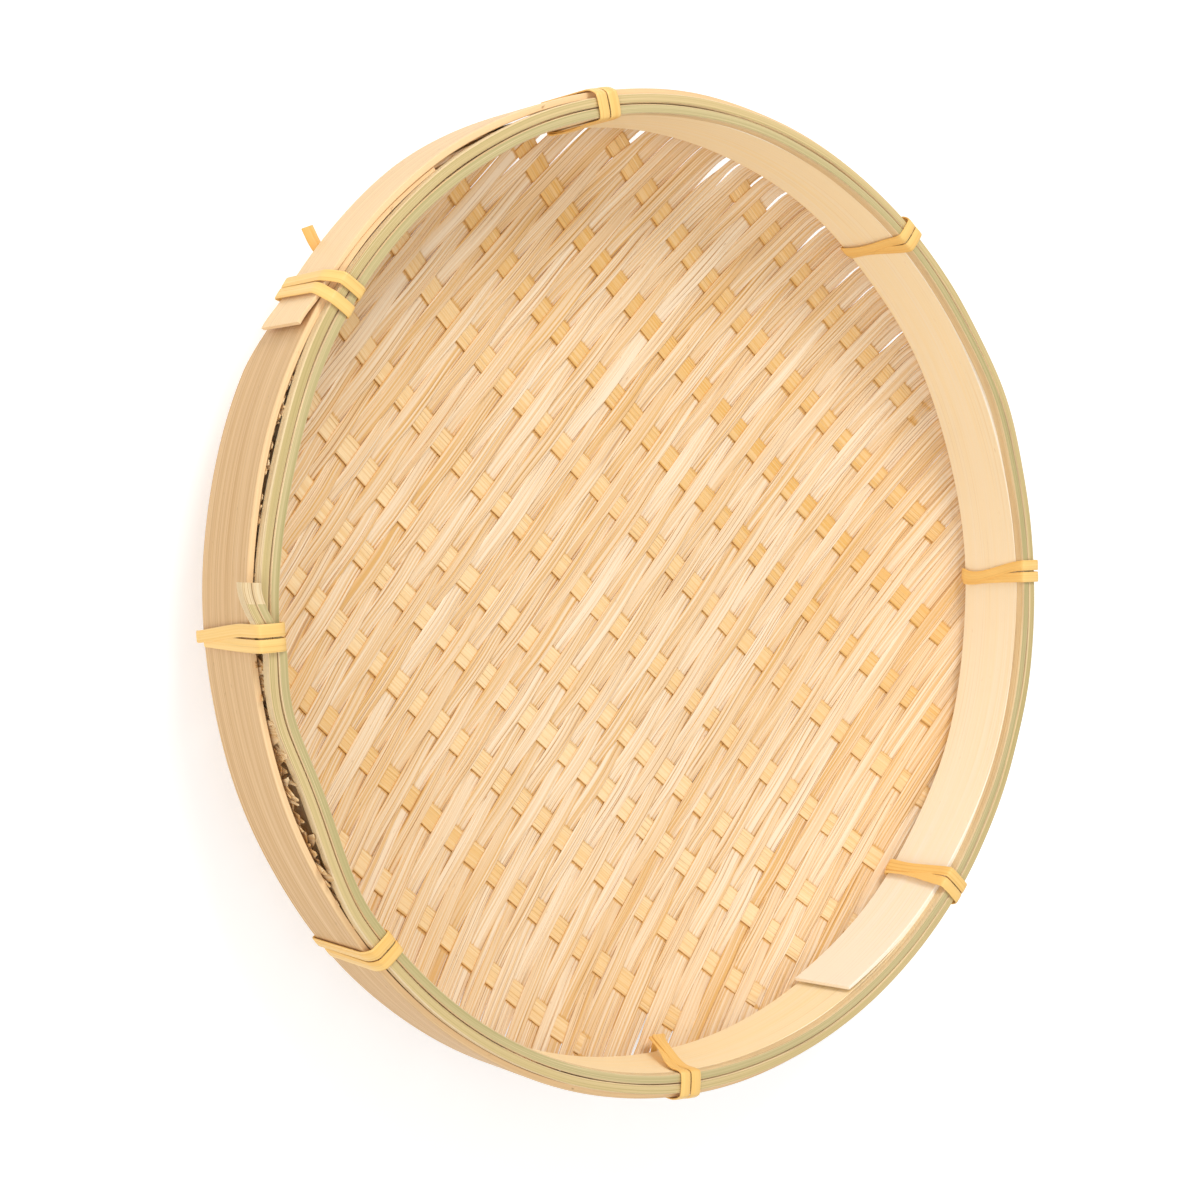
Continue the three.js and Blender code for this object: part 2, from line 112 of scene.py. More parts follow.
def cross_half(row):
    """Half the length of a cross strip: those near the middle go up the wall, the others end in the
    bend."""
    side = abs(cross_places[row]) + cross_width / 2
    near_middle = side < bend_start / 3
    reach = mat_radius - cross_wall_gap if near_middle else bend_start + cross_bend_hold
    return np.sqrt(reach**2 - side**2)


side_hold, end_hold = 2.0, 6.0
level_over, level_under = 0.25, 0.47
rings_per_half = 1.1
ring_offsets = np.array([-0.4, 0.0, 0.45, 0.9])
# Painted shade where a pale strip dips under a cross strip: the length of its ramp, and its strength at
# the lit end.
painted_shade_length = 0.9
lit_side_painted_shade = 0.4


def crossings(index, u, half):
    """Where a pale strip meets the cross strips: the places along it, and 1 over or -1 under."""
    rows = np.arange(len(cross_places))
    at = cross_places - u * weave_skew
    reached = np.array([abs(u) < cross_half(row) + side_hold for row in rows])
    met = reached & (np.abs(at) < half - end_hold)
    return at[met], np.where((index + rows) % 2 == 0, 1, -1)[met]


def weave_height(at, side, v):
    """Height of a pale strip along its length: up over one cross strip and down under the next,
    held level at each crossing and turning between them, and in line with the mat at its ends."""
    level = cross_width * np.where(side > 0, level_over, level_under)
    place = np.concatenate([[v[0]], np.stack([at - level, at + level], 1)[::-1].ravel(), [v[-1]]])
    height = np.concatenate([[0.0], np.repeat(side[::-1] * weave_lift, 2), [0.0]])
    right = np.clip(np.searchsorted(place, v), 1, len(place) - 1)
    share = (v - place[right - 1]) / np.maximum(place[right] - place[right - 1], 1e-6)
    share = np.clip(share, 0, 1)
    share = share * share * (3 - 2 * share)
    return height[right - 1] + (height[right] - height[right - 1]) * share


def strip_rings(at, half):
    """Places of the rings along a pale strip: an even row, and a few more at the cross strips' edges."""
    even = np.linspace(-half, half, int(rings_per_half * half))
    beside = cross_width / 2 + ring_offsets
    edges = np.concatenate([at[:, None] - beside, at[:, None] + beside]).ravel()
    return np.unique(np.concatenate([even, edges]))


def painted_crevice_shade(at, side, v):
    """Painted shade on a pale strip where it dips under a cross strip: a ramp of darker tone over the last
    millimetre, strong at the end that lies away from the light and weak at the other."""
    under = at[side < 0]
    before = 1 - np.abs(under - cross_width / 2 - v[:, None]) / painted_shade_length
    after = 1 - np.abs(under + cross_width / 2 - v[:, None]) / painted_shade_length
    return (np.clip(before, 0, 1) + lit_side_painted_shade * np.clip(after, 0, 1)).sum(axis=1)


def wander(length, size, count=3, longest=150):
    """A smooth uneven line along a length: a few waves of random phase and length."""
    line = np.zeros_like(length)
    for wave in range(count):
        period = rng.uniform(0.3, 1) * longest / (wave + 1) ** 0.5
        line += np.sin(2 * np.pi * length / period + rng.uniform(0, 2 * np.pi))
    return size * line / count


seam_spread = 0.42
seam_wave, seam_wave_length = 0.12, 24.0
seam_shift = rng.normal(0, seam_spread, pale_count + 1)
seam_phase = rng.uniform(0, 2 * np.pi, pale_count + 1)


def strip_seam(number, v):
    """The seam that two neighbouring pale strips share: an almost straight line along them."""
    wave = seam_wave * np.sin(v / seam_wave_length + seam_phase[number])
    return (number - pale_count / 2) * pale_pitch - mat_shift + seam_shift[number] + wave


seam_overlap, weave_overlap = 0.1, 0.5
drawn_mean, drawn_spread = 0.06, 0.1
drawn_length = 7.0
close_side = 36.0
loose_far_end, close_far_end = 1.5, 0.4


def strip_width(index, u, v, height):
    """Width of a pale strip along its length: from seam to seam, more where it lies above or below
    its neighbours, and less where it is drawn over the bend, mostly at its far end. The strips
    beyond the close side are drawn less there."""
    width = strip_seam(index + 1, v) - strip_seam(index, v)
    width = width + seam_overlap + weave_overlap * (height / weave_lift) ** 2
    bend = np.exp(-(((np.hypot(u, v) - bend_start) / drawn_length) ** 2))
    far_end = loose_far_end if u < close_side else close_far_end
    drawn = max(0.0, rng.normal(drawn_mean, drawn_spread)) * np.where(v > 0, far_end, 1.0)
    return width * (1 - drawn * bend)


sliver_chances = [0.62, 0.24, 0.14]
split_reach = 0.7


def sliver_edges():
    """Splits a strip into one to three slivers: their edges, from -1 to 1 across the strip."""
    slivers = rng.choice([1, 2, 3], p=sliver_chances)
    splits = np.sort(rng.uniform(-split_reach, split_reach, slivers - 1))
    return np.concatenate([[-1], splits, [1]])


strip_place = np.array([-1, -0.9, 0, 0.9, 1, 1, 0.9, 0, -0.9, -1])
strip_height = np.array([-0.2, -0.5, -0.5, -0.5, -0.2, 0.1, 0.46, 0.54, 0.46, 0.1])
# Outline points that get painted shade: the sides and the underside, where the strips meet in the seams.
shaded_edge_points = np.array([1, 1, 0, 1, 1, 1, 0, 0, 0, 1])
strip_clearance = 2.6
end_unevenness = 1.2
strip_tilt, tilt_wander = 0.02, 0.03
sliver_wander = 0.04
strip_tones, sliver_tones = 0.1, 0.06
# Painted shade: how much darker a strip is drawn along its edges and in the crevices where it dips under a
# cross strip.
painted_edge_shade, painted_crevice_tone = 0.4, 1.3


def pale_strip(index):
    """Surfaces of one pale strip: a flat outline with soft edges carried along between two seams.
    It rises and dips with the weave and lies a little tilted. Each of its slivers has a height and
    a tone of its own, with painted shade along its edges and in the crevices."""
    u = (index - (pale_count - 1) / 2) * pale_pitch - mat_shift
    half = np.sqrt(mat_radius**2 - (abs(u) + strip_clearance) ** 2) - rng.uniform(0, end_unevenness)
    at, side = crossings(index, u, half)
    v = strip_rings(at, half)
    height = weave_height(at, side, v)
    width = strip_width(index, u, v, height)
    middle = (strip_seam(index, v) + strip_seam(index + 1, v)) / 2
    tilt = strip_tilt + wander(v, tilt_wander)
    edges = sliver_edges()
    tone = rng.normal(0.0, strip_tones)
    # Painted shade along the strip's edges and in its crevices, added to its tone.
    painted_shade = painted_edge_shade * shaded_edge_points[None, :] + painted_crevice_tone * painted_crevice_shade(at, side, v)[:, None]
    sweeps = []
    for left, right in zip(edges[:-1], edges[1:]):
        share = (left + right) / 2 + strip_place * (right - left) / 2
        apart = wander(v, sliver_wander, longest=90) if len(edges) > 2 else 0 * v
        place = share[None, :] * width[:, None] / 2 + apart[:, None]
        own = height + wander(v, sliver_wander, longest=80)
        lift = own[:, None] + strip_height[None, :] * pale_thickness + place * tilt[:, None]
        grid = on_dish(middle[:, None] + place, v[:, None] + 0 * place, lift)
        sweeps.append((grid, place, v, tone + rng.normal(0, sliver_tones) + painted_shade))
    return sweeps


oval_stretch, oval_angle = 0.0105, np.radians(123)
sharp_angle = np.radians(25)
per_metre = 1000
look_shift = 9.0


def out_of_round(points):
    """Draws the round tray slightly oval, as hand-bent hoops are: the way from the middle grows by
    the cosine of twice the angle from the oval's long axis, and more so further out."""
    angle = np.arctan2(points[:, 1], points[:, 0])
    reach = np.hypot(points[:, 0], points[:, 1]) / wall_radius
    scale = 1 + oval_stretch * reach * np.cos(2 * (angle - oval_angle))
    return points * np.stack([scale, scale, np.ones_like(scale)], axis=-1)


def sweep_faces(number):
    """Faces of a closed sweep from the numbers of its points, ring by ring: the quads round and along
    it, and the two flat faces that close its ends."""
    turned = np.roll(number, -1, axis=1)
    quads = np.stack([number[:-1], number[1:], turned[1:], turned[:-1]], axis=-1)
    return quads.reshape(-1, 4).tolist(), [number[0].tolist(), number[-1][::-1].tolist()]


def put_piece(name, points, faces, uv, tones):
    """Puts a piece of the tray into the scene, with its UV map and tone, smooth but for its edges."""
    mesh = bpy.data.meshes.new(name)
    mesh.from_pydata((out_of_round(points) / per_metre).tolist(), [], faces)
    corners = np.empty(len(mesh.loops), np.int32)
    mesh.loops.foreach_get("vertex_index", corners)
    layer = mesh.uv_layers.new(name="strip")
    layer.data.foreach_set("uv", uv[corners].astype(np.float32).ravel())
    shade = mesh.attributes.new("tone", "FLOAT", "POINT")
    shade.data.foreach_set("value", tones.astype(np.float32))
    mesh.polygons.foreach_set("use_smooth", np.ones(len(mesh.polygons), bool))
    mesh.set_sharp_from_angle(angle=sharp_angle)
    piece = bpy.data.objects.new(name, mesh)
    bpy.context.scene.collection.objects.link(piece)
    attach(piece, "root")
    return piece


def put_mesh(name, sweeps):
    """Joins closed sweeps into one piece. A sweep is a grid of rings by outline points. The UV map
    holds the place across and along in metres, moved at random so that no two sweeps look alike, and
    the attribute tone holds how dark the piece is."""
    points, faces, caps, uv, tones = [], [], [], [], []
    start = 0
    for grid, place, length, tone in sweeps:
        rings, count = grid.shape[:2]
        quads, ends = sweep_faces(start + np.arange(rings * count).reshape(rings, count))
        faces += quads
        caps += ends
        points.append(grid.reshape(-1, 3))
        shift = rng.uniform(0, look_shift, 2)
        run = np.broadcast_to(np.asarray(length)[:, None], (rings, count))
        side = np.broadcast_to(place, (rings, count))
        look_place = np.stack([side / per_metre + shift[0], run / per_metre + shift[1]], -1)
        uv.append(look_place.reshape(-1, 2))
        tones.append(np.broadcast_to(tone, (rings, count)).reshape(-1))
        start += rings * count
    return put_piece(name, np.concatenate(points), faces + caps, np.concatenate(uv), np.concatenate(tones))


def stretched_noise(group, run, scale, detail):
    """Noise stretched along a piece: features per metre across and along it."""
    stretch = group.nodes.new("ShaderNodeVectorMath")
    stretch.operation = "MULTIPLY"
    stretch.inputs[1].default_value = scale
    group.links.new(run, stretch.inputs[0])
    texture = group.nodes.new("ShaderNodeTexNoise")
    texture.inputs["Scale"].default_value = 1.0
    texture.inputs["Detail"].default_value = detail
    group.links.new(stretch.outputs[0], texture.inputs["Vector"])
    return texture.outputs["Fac"]


def spread(group, value, low, high):
    """Stretches a value so that low becomes 0 and high becomes 1, and holds it there."""
    stretch = group.nodes.new("ShaderNodeMapRange")
    stretch.inputs["From Min"].default_value = low
    stretch.inputs["From Max"].default_value = high
    group.links.new(value, stretch.inputs["Value"])
    return stretch.outputs["Result"]


def combine(group, operation, first, second):
    """Two values put together by a sum, product or the like; the second may be a plain number."""
    both = group.nodes.new("ShaderNodeMath")
    both.operation = operation
    group.links.new(first, both.inputs[0])
    if isinstance(second, float):
        both.inputs[1].default_value = second
    else:
        group.links.new(second, both.inputs[1])
    return both.outputs[0]


def mixed(group, share, first, second):
    """Goes from the first colour to the second by a share."""
    mix = group.nodes.new("ShaderNodeMix")
    mix.data_type = "RGBA"
    group.links.new(share, mix.inputs["Factor"])
    group.links.new(first, mix.inputs["A"])
    group.links.new(second, mix.inputs["B"])
    return mix.outputs["Result"]


lanes_per_metre = 620.0
lane_sway = 2.5
lane_width = 0.008
sway_scale, patch_scale = (260, 6, 1), (150, 22, 1)


def split_lines(group, run, strength):
    """Thin splits along a piece: the middles of evenly running lanes, which sway a little, where
    the square of the way from the middle is small. A broad noise lets them show in places only."""
    place = group.nodes.new("ShaderNodeSeparateXYZ")
    group.links.new(run, place.inputs[0])
    sway = combine(group, "MULTIPLY", stretched_noise(group, run, sway_scale, 1), lane_sway)
    lanes = combine(group, "ADD", combine(group, "MULTIPLY", place.outputs["X"], lanes_per_metre), sway)
    middle = combine(group, "SUBTRACT", combine(group, "FRACT", lanes, 0.0), 0.5)
    lines = spread(group, combine(group, "MULTIPLY", middle, middle), lane_width, 0.0)
    where = spread(group, stretched_noise(group, run, patch_scale, 1), 0.46, 0.60)
    return combine(group, "MULTIPLY", combine(group, "MULTIPLY", lines, where), strength)


def bamboo_sockets(group):
    """Names the group's inputs and outputs."""
    for name in ["Pale", "Dark", "Split"]:
        group.interface.new_socket(name, in_out="INPUT", socket_type="NodeSocketColor")
    for name in ["Fibres", "Bands", "Splits", "Specks", "Rough"]:
        group.interface.new_socket(name, in_out="INPUT", socket_type="NodeSocketFloat")
    group.interface.new_socket("Color", in_out="OUTPUT", socket_type="NodeSocketColor")
    group.interface.new_socket("Roughness", in_out="OUTPUT", socket_type="NodeSocketFloat")
    group.interface.new_socket("Height", in_out="OUTPUT", socket_type="NodeSocketFloat")


fibre_scale, band_scale, speck_scale = (1800, 9, 1), (420, 5, 1), (900, 240, 1)
# Tones at which the painted shade of deep crevices begins and where it is full.
painted_shade_from, painted_shade_full = 0.8, 1.9
fibre_roughness, fibre_relief = 0.2, 0.6


def bamboo_group():
    """Bamboo's look as a node group: fine fibres along the piece, broader bands of lighter and
    darker fibre, thin splits, small brown specks, and a painted shade that goes over to the split
    brown where the tone is deep, as in crevices. It gives colour, roughness and height."""
    group = bpy.data.node_groups.new("bamboo", "ShaderNodeTree")
    bamboo_sockets(group)
    given = group.nodes.new("NodeGroupInput").outputs
    result = group.nodes.new("NodeGroupOutput").inputs
    strip_map = group.nodes.new("ShaderNodeUVMap")
    strip_map.uv_map = "strip"
    run = strip_map.outputs["UV"]
    shade = group.nodes.new("ShaderNodeAttribute")
    shade.attribute_name = "tone"
    tone = shade.outputs["Fac"]
    fibres = spread(group, stretched_noise(group, run, fibre_scale, 2), 0.38, 0.62)
    bands = spread(group, stretched_noise(group, run, band_scale, 2), 0.34, 0.66)
    splits = split_lines(group, run, given["Splits"])
    specks = spread(group, stretched_noise(group, run, speck_scale, 2), 0.70, 0.80)
    specks = combine(group, "MULTIPLY", specks, given["Specks"])
    depth = combine(group, "MULTIPLY", fibres, given["Fibres"])
    depth = combine(group, "ADD", depth, combine(group, "MULTIPLY", bands, given["Bands"]))
    depth = combine(group, "ADD", depth, tone)
    wood = mixed(group, depth, given["Pale"], given["Dark"])
    # Painted shade: where the tone runs deep, as in crevices, the colour goes over to the split brown.
    deep_painted_shade = spread(group, tone, painted_shade_from, painted_shade_full)
    marks = combine(group, "MAXIMUM", combine(group, "MAXIMUM", splits, specks), deep_painted_shade)
    group.links.new(mixed(group, marks, wood, given["Split"]), result["Color"])
    rough = combine(group, "ADD", combine(group, "MULTIPLY", fibres, fibre_roughness), given["Rough"])
    group.links.new(rough, result["Roughness"])
    relief = combine(group, "SUBTRACT", combine(group, "MULTIPLY", fibres, fibre_relief), splits)
    group.links.new(relief, result["Height"])
    return group


bamboo = bamboo_group()
relief_depth = 0.0002
bamboo_gloss = 0.35


def bamboo_material(name, colours, fibres, bands, splits, specks, rough, bump):
    """A bamboo finish: the shared look with its own colours and strengths on one shader."""
    material = bpy.data.materials.new(name)
    material.use_nodes = True
    nodes, links = material.node_tree.nodes, material.node_tree.links
    shader = nodes["Principled BSDF"]
    look = nodes.new("ShaderNodeGroup")
    look.node_tree = bamboo
    for socket, colour in zip(["Pale", "Dark", "Split"], colours):
        look.inputs[socket].default_value = (*colour, 1)
    strengths = {"Fibres": fibres, "Bands": bands, "Splits": splits, "Specks": specks, "Rough": rough}
    for socket, strength in strengths.items():
        look.inputs[socket].default_value = strength
    relief = nodes.new("ShaderNodeBump")
    relief.inputs["Strength"].default_value = bump
    relief.inputs["Distance"].default_value = relief_depth
    links.new(look.outputs["Color"], shader.inputs["Base Color"])
    links.new(look.outputs["Roughness"], shader.inputs["Roughness"])
    links.new(look.outputs["Height"], relief.inputs["Height"])
    links.new(relief.outputs["Normal"], shader.inputs["Normal"])
    shader.inputs["Specular IOR Level"].default_value = bamboo_gloss
    return material


split_brown = (0.44, 0.18, 0.03)
pale_finish = bamboo_material(
    "pale_split_bamboo",
    [(0.95, 0.77, 0.555), (0.76, 0.44, 0.15), split_brown],
    fibres=0.72, bands=0.2, splits=0.75, specks=0.5, rough=0.44, bump=0.5,
)
for pair in range(pale_count // 2):
    strips = pale_strip(2 * pair) + pale_strip(2 * pair + 1)
    piece = put_mesh(f"woven_pale_{pair + 1:02d}", strips)
    piece.data.materials.append(pale_finish)
    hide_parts(f"pale_strips_{pair + 1:02d}")

# Cross strips: wider, darker strips of bamboo, woven in square to the pale ones and nearly
# straight. They show as small tan squares wherever a pale strip passes under them.
cross_thickness = 0.5
cross_arch = 0.06
cross_width_wander, cross_side_wander = 0.5, 0.4
cross_rings_per_half = 1.6
# Painted shade along the cross strips' edges.
cross_painted_edge_shade = 0.35
cross_tones = [0.22, 0.32, 0.48, 0.38, 0.1, 0.05, -0.12, -0.15, -0.08, 0.2, 0.0]


def cross_strip(row):
    """Surface of one cross strip: the flat outline carried straight along the row, on the dish,
    arched a little over each pale strip that passes under it."""
    skew = np.arctan(weave_skew)
    half = cross_half(row)
    offset = cross_places[row] * np.cos(skew)
    run = np.linspace(half, -half, int(cross_rings_per_half * half))
    width = cross_width + wander(run, cross_width_wander)
    place = strip_place[None, :] * width[:, None] / 2
    side = offset + place + wander(run, cross_side_wander)[:, None]
    u = run[:, None] * np.cos(skew) + side * np.sin(skew)
    v = side * np.cos(skew) - run[:, None] * np.sin(skew)
    step = (run + mat_shift) / pale_pitch + (pale_count - 1) / 2 + row
    arch = -cross_arch * np.cos(np.pi * step)
    lift = arch[:, None] + strip_height[None, :] * cross_thickness
    return on_dish(u, v, lift), place, run


cross_finish = bamboo_material(
    "tan_split_bamboo",
    [(0.97, 0.725, 0.42), (0.80, 0.45, 0.12), (0.40, 0.17, 0.03)],
    fibres=0.4, bands=0.2, splits=0.4, specks=0.2, rough=0.40, bump=0.6,
)
for row in range(len(cross_places)):
    grid, place, run = cross_strip(row)
    # The row's own tone, with painted shade along the strip's edges.
    shade = cross_tones[row] + cross_painted_edge_shade * shaded_edge_points
    piece = put_mesh(f"woven_cross_{row + 1:02d}", [(grid, place, run, shade)])
    piece.data.materials.append(cross_finish)
    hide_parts(f"cross_strip_{row + 1:02d}")

# Hoops: two planed bamboo bands, each bent once round with its ends lapped. The outer one ends
# proud of itself, and the mat's wall is clamped between the two.
hoop_thickness = 2.0
hoop_corner = 0.25
hoop_lap = 60.0
lap_ramp = 45.0
lap_step = 2.1
end_thinning = 0.45
curl_length = 16.0
outer_face = 150.0
outer_bottom = 22.03
hoop_top = 48.03
inner_face = 142.25
inner_bottom = 24.43
band_rings = 640
side_wander, low_wander, top_wander = 0.12, 0.3, 0.12
top_raise = 0.12
rim_bows = [(3.3, np.radians(187), np.radians(216.5)), (1.0, np.radians(150), np.radians(181))]


def smooth(value, low, high):
    """0 at low, 1 at high, an even ease between them, and level beyond."""
    share = np.clip((value - low) / (high - low), 0, 1)
    return share * share * (3 - 2 * share)


def bow(angle):
    """How far the rim's inside bows inwards between two ties: the square of half a sine wave, for
    each pair of ties that leaves it loose."""
    inwards = 0.0
    for size, first, last in rim_bows:
        share = np.clip((angle % (2 * np.pi) - first) / (last - first), 0, 1)
        inwards = inwards + size * np.sin(np.pi * share) ** 2
    return inwards


half_out = np.array([0, hoop_corner, hoop_thickness - hoop_corner, hoop_thickness])
band_out = np.concatenate([half_out, half_out[::-1]])
band_up = np.array([1, 0, 0, 1, -1, 0, 0, -1]) * hoop_corner
band_low = np.array([1, 1, 1, 1, 0, 0, 0, 0], bool)
first_rise, last_rise = (1.6, 0.5), (1.2, 0.8)
# The cut upper edge of a band: paler as cut fibre, with a painted highlight along it.
cut_edge_and_highlight = np.array([0, 0, 0, 0, 0, 1, 1, 0])
cut_edge_and_highlight_tone = -0.6
# Painted light on a band: the length over which its first end's lighter tone fades.
painted_light_length = 150.0
depth_share = 0.6


def band_heights(travel, bottom, taper):
    """Heights of a band's outline along it: a lower edge that may rise towards both ends, from one
    share of the lap's length to another, and an almost level upper edge. Both are a little uneven."""
    height = np.where(band_low, bottom + band_up, hoop_top + band_up)[None, :] + 0 * travel[:, None]
    remaining = travel[-1] - travel
    rise = smooth(travel, first_rise[0] * hoop_lap, first_rise[1] * hoop_lap)
    rise = rise + smooth(remaining, last_rise[0] * hoop_lap, last_rise[1] * hoop_lap)
    height[:, band_low] += (wander(travel, low_wander) + taper * rise)[:, None]
    height[:, ~band_low] += wander(travel, top_wander)[:, None] + top_raise
    return height


def band(inside, bottom, start, turn, shift, slant=0.0, bowed=0.0, taper=0.0, curl=0.0, tones=(0.0, 0.0)):
    """Surface of a band bent round once: a rounded upright outline carried round the circle from its
    start, one way round for a turn of 1 and the other way for -1. Its ends are shaved thinner. The
    first end is shifted aside of the last one, may be cut at a slant, and may curl off at its tip.
    The tone may change from the first end on: painted light, lighter at the first end where the light
    falls on the band. The cut upper edge is paler, as cut fibre with a painted highlight along it."""
    length = 2 * np.pi * inside + hoop_lap
    travel = np.linspace(0, length, band_rings)
    first_end, last_end = smooth(travel, hoop_lap, 0), smooth(travel, length - hoop_lap, length)
    thin = 1 - end_thinning * (first_end + last_end)
    aside = shift * (1 - end_thinning * (1 - first_end)) * smooth(travel, hoop_lap + lap_ramp, hoop_lap)
    aside = aside + curl * smooth(travel, curl_length, 0) ** 2 + wander(travel, side_wander)
    aside = aside - bowed * bow(start + turn * travel / inside)
    height = band_heights(travel, bottom, taper)
    share = (height - bottom) / (hoop_top - bottom)
    cut = slant * share * np.clip(1 - travel / (3 * slant + 1), 0, 1)[:, None]
    angle = start + turn * (travel[:, None] + cut) / inside
    radius = inside + aside[:, None] + band_out[None, :] * thin[:, None]
    grid = np.stack([radius * np.cos(angle), radius * np.sin(angle), height], -1)
    place = height + depth_share * band_out[None, :]
    # Painted light: lighter from the first end, fading to the far tone.
    tone = tones[1] + (tones[0] - tones[1]) * np.exp(-travel / painted_light_length)[:, None]
    # The cut upper edge paler, with a painted highlight.
    tone = tone + cut_edge_and_highlight_tone * cut_edge_and_highlight[None, :]
    order = slice(None) if turn > 0 else slice(None, None, -1)
    return grid[order], place[order], travel[order], tone[order]


inner_finish = bamboo_material(
    "inner_band_bamboo",
    [(1.0, 0.91, 0.76), (1.0, 0.81, 0.47), (0.62, 0.36, 0.12)],
    fibres=0.18, bands=0.2, splits=0.15, specks=0.3, rough=0.40, bump=0.25,
)
# The tones paint light on the inner band: lighter from its first end, where the light falls on it.
inner_sweep = band(
    inner_face, inner_bottom, np.radians(296), 1, -lap_step, slant=2.0, bowed=1.0, tones=(-0.35, 0.6)
)
inner_band = put_mesh("inner_band", [inner_sweep])
inner_band.data.materials.append(inner_finish)
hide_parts("inner_hoop")

outer_finish = bamboo_material(
    "outer_band_bamboo",
    [(0.92, 0.65, 0.36), (0.58, 0.34, 0.14), (0.36, 0.19, 0.07)],
    fibres=0.26, bands=0.26, splits=0.2, specks=0.8, rough=0.44, bump=0.35,
)
outer_inside = outer_face - hoop_thickness
# The tones paint light on the outer band: lighter from its first end, where the light falls on it.
outer_sweep = band(
    outer_inside, outer_bottom, np.radians(151), -1, lap_step, taper=5.5, curl=1.4, tones=(-0.35, 0.42)
)
outer_band = put_mesh("outer_band", [outer_sweep])
outer_band.data.materials.append(outer_finish)
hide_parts("outer_hoop")

# Rim splints: two thin canes side by side on the hoops, green skin upwards and split on both
# sides. Their first ends ride up over their last ones and stand out over the outer band.
splint_width = 2.75
splint_height = 3.2
splint_gap = 0.3
splint_lap = 14.0
splint_ramp = 28.0
splint_swing = 7.0
swing_length = 19.0
splint_end = np.radians(177.5)
splint_stray = 1.2
stray_middle, stray_spread = np.radians(26), np.radians(9)
splint_rings = 700
splint_wander, radius_wander = 0.12, 0.06
splint_out = splint_width * np.array([0.05, 0.95, 1, 1, 0.90, 0.5, 0.10, 0, 0])
splint_up = splint_height * np.array([-0.07, -0.07, 0, 0.84, 0.97, 1, 0.97, 0.84, 0])
fibre_fineness = (2.0, 3.3)
fibre_place = fibre_fineness[0] * splint_out + fibre_fineness[1] * splint_up


def splint(inside):
    """Surface of a rim splint: an upright outline with a slightly crowned top, carried once round
    the rim, lifted by its own height where it crosses its other end, and swung outwards there. On
    the far side it strays outwards a little, which bares the hoop's edge. Its fibres are finer than
    a strip's, across its top and more so up its sides."""
    middle = inside + splint_width / 2
    sweep = 2 * np.pi + splint_lap / middle
    travel = np.linspace(0, sweep, splint_rings) * middle
    lift = (splint_height + splint_gap) * (1 - smooth(travel, splint_lap, splint_lap + splint_ramp))
    swing = splint_swing * (1 - smooth(travel, 0, swing_length))
    angle = splint_end + travel / middle
    stray = splint_stray * np.exp(-(((angle - 2 * np.pi - stray_middle) / stray_spread) ** 2))
    aside = swing - bow(angle) + stray + wander(travel, splint_wander)
    radius = inside + aside[:, None] + splint_out[None, :] + wander(travel, radius_wander)[:, None]
    height = hoop_top + splint_gap + lift[:, None] + splint_up[None, :]
    height = height + wander(travel, splint_wander)[:, None]
    angle = angle[:, None] + 0 * radius
    grid = np.stack([radius * np.cos(angle), radius * np.sin(angle), height], -1)
    return grid, fibre_place, travel, 0.0


skin_colours = {
    "inner_cane": [(0.66, 0.53, 0.27), (0.44, 0.37, 0.15), (0.84, 0.66, 0.37)],
    "outer_cane": [(0.76, 0.57, 0.28), (0.50, 0.39, 0.15), (0.86, 0.66, 0.37)],
}
side_finish = bamboo_material(
    "split_cane_side",
    [(0.94, 0.76, 0.48), (0.74, 0.50, 0.22), split_brown],
    fibres=0.5, bands=0.3, splits=0.6, specks=0.2, rough=0.5, bump=0.8,
)
skin_finish_number, side_finish_number = 0, 1
skin_faces = np.array([0, 0, 0, 0, 1, 1, 0, 0, 0], bool)
shaved_length = 6.0
inner_cane, outer_cane = inner_face, inner_face + splint_width + splint_gap
for name, node, inside in [
    ("inner_cane", "inner_rim_splint", inner_cane),
    ("outer_cane", "outer_rim_splint", outer_cane),
]:
    grid, place, travel, tone = splint(inside)
    piece = put_mesh(name, [(grid, place, travel, tone)])
    skin_finish = bamboo_material(
        f"{name}_skin", skin_colours[name],
        fibres=0.4, bands=0.6, splits=0.7, specks=0.0, rough=0.30, bump=0.3,
    )
    piece.data.materials.append(skin_finish)
    piece.data.materials.append(side_finish)
    has_skin = skin_faces[None, :] & (travel[1:, None] >= shaved_length)
    finishes = np.where(has_skin, skin_finish_number, side_finish_number).ravel()
    finishes = np.append(finishes, [side_finish_number, side_finish_number])
    piece.data.polygons.foreach_set("material_index", finishes.astype(np.int32))
    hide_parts(node)

# Torn ends: the ragged upper ends of the mat's bamboo strips, thin, torn and curled. The hoops hold
# them, and they stand up in the two gaps where the splints bow away from the outer band.
torn_bottom = 42.0
torn_thickness = 0.4
torn_rings = 6
torn_widths = (1.5, 5.0)
torn_tones = (-0.1, 0.5)
torn_curl = 1.2
torn_lean, lean_spread = 0.2, 0.7
tip_narrowing = 0.75
torn_gaps = [
    {"count": 60, "angles": (185, 218), "radii": (145.5, 147.5), "tips": (48.0, 51.2)},
    {"count": 40, "angles": (152, 180), "radii": (147.0, 147.7), "tips": (46.5, 48.8)},
]


def sliver(angle, radius, low, high, width, lean):
    """Surface of one torn end: a thin flat outline carried upwards and curling over to one side,
    narrower towards its tip."""
    share = np.linspace(0, 1, torn_rings)
    size = width * (1 - tip_narrowing * share**2)
    side = np.array([-1, 1, 1, -1]) / 2
    thick = np.array([-1, -1, 1, 1]) * torn_thickness / 2
    sideways = side[None, :] * size[:, None] + rng.normal(0, torn_curl) * share[:, None] ** 2
    out = radius + lean * share[:, None] ** 2 + thick[None, :]
    up = low + (high - low) * share[:, None] + 0 * sideways
    turn = angle + sideways / radius
    grid = np.stack([out * np.cos(turn), out * np.sin(turn), up], -1)
    return grid, sideways, up[:, 0], rng.uniform(*torn_tones)


